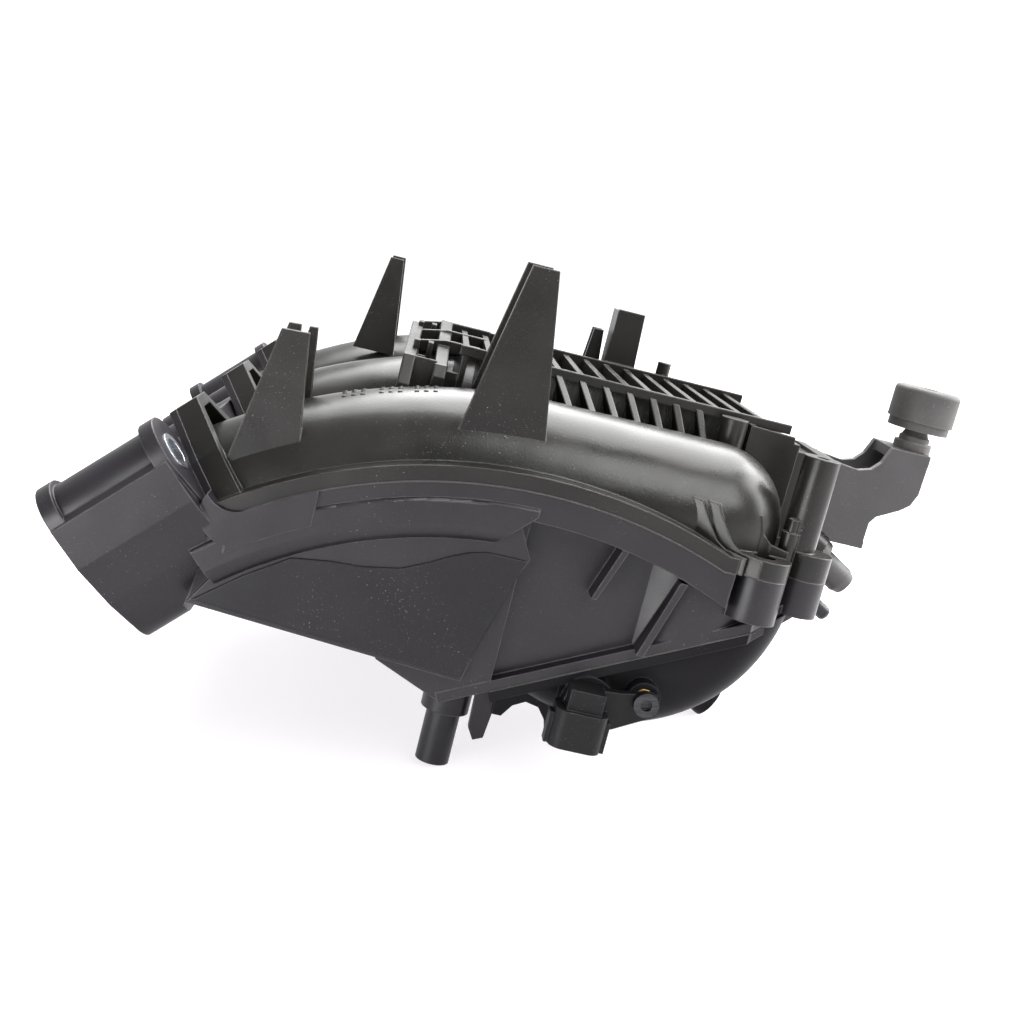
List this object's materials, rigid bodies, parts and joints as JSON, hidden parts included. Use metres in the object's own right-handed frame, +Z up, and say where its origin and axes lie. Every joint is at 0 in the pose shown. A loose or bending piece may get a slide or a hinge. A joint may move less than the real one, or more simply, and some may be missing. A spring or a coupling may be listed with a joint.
{
  "type": "intake manifold",
  "caption": "Welded plastic intake manifold with arched runners over a plenum, tapered cover fins, an open rib grate, hose spigots and a bracket with a rubber grommet.",
  "frame": {"origin": "centre of the bounding box's base, on the surface that the manifold stands on", "axes": "+X from the cylinder head to the rear, +Y along the crankshaft towards the throttle, +Z up as it stands"},
  "size_m": [0.2748, 0.2764, 0.1518],
  "materials": {
    "upper_plastic": "satin black glass-filled plastic",
    "lower_plastic": "satin black glass-filled plastic",
    "bracket_plastic": "fine grained dark grey plastic",
    "stud_plastic": "worn dark grey plastic",
    "sensor_plastic": "black plastic",
    "grommet_rubber": "matt dark grey rubber",
    "seal_rubber": "moulded rubber",
    "brass": "knurled brass",
    "steel": "zinc plated",
    "terminal_metal": "plated contact"
  },
  "bodies": {
    "root": {"upper_shell": "upper_plastic", "middle_shell": "lower_plastic", "lower_shell": "lower_plastic", "head_bolt_limiters": "steel", "port_seal_1": "seal_rubber", "port_seal_2": "seal_rubber", "port_seal_3": "seal_rubber", "throttle_inserts": "brass", "throttle_gasket": "seal_rubber", "boss_inserts": "brass", "cover_bracket": "bracket_plastic", "bracket_inserts": "brass", "bracket_screws": "steel", "stud_insert": "brass", "cover_ball_stud": "stud_plastic", "cover_grommet": "grommet_rubber", "pressure_sensor": "sensor_plastic", "sensor_o_ring": "seal_rubber", "sensor_terminals": "terminal_metal", "sensor_insert": "brass", "sensor_screw": "steel", "brake_servo_spigot": "lower_plastic", "vapour_nipple": "lower_plastic"}
  },
  "joints": []
}
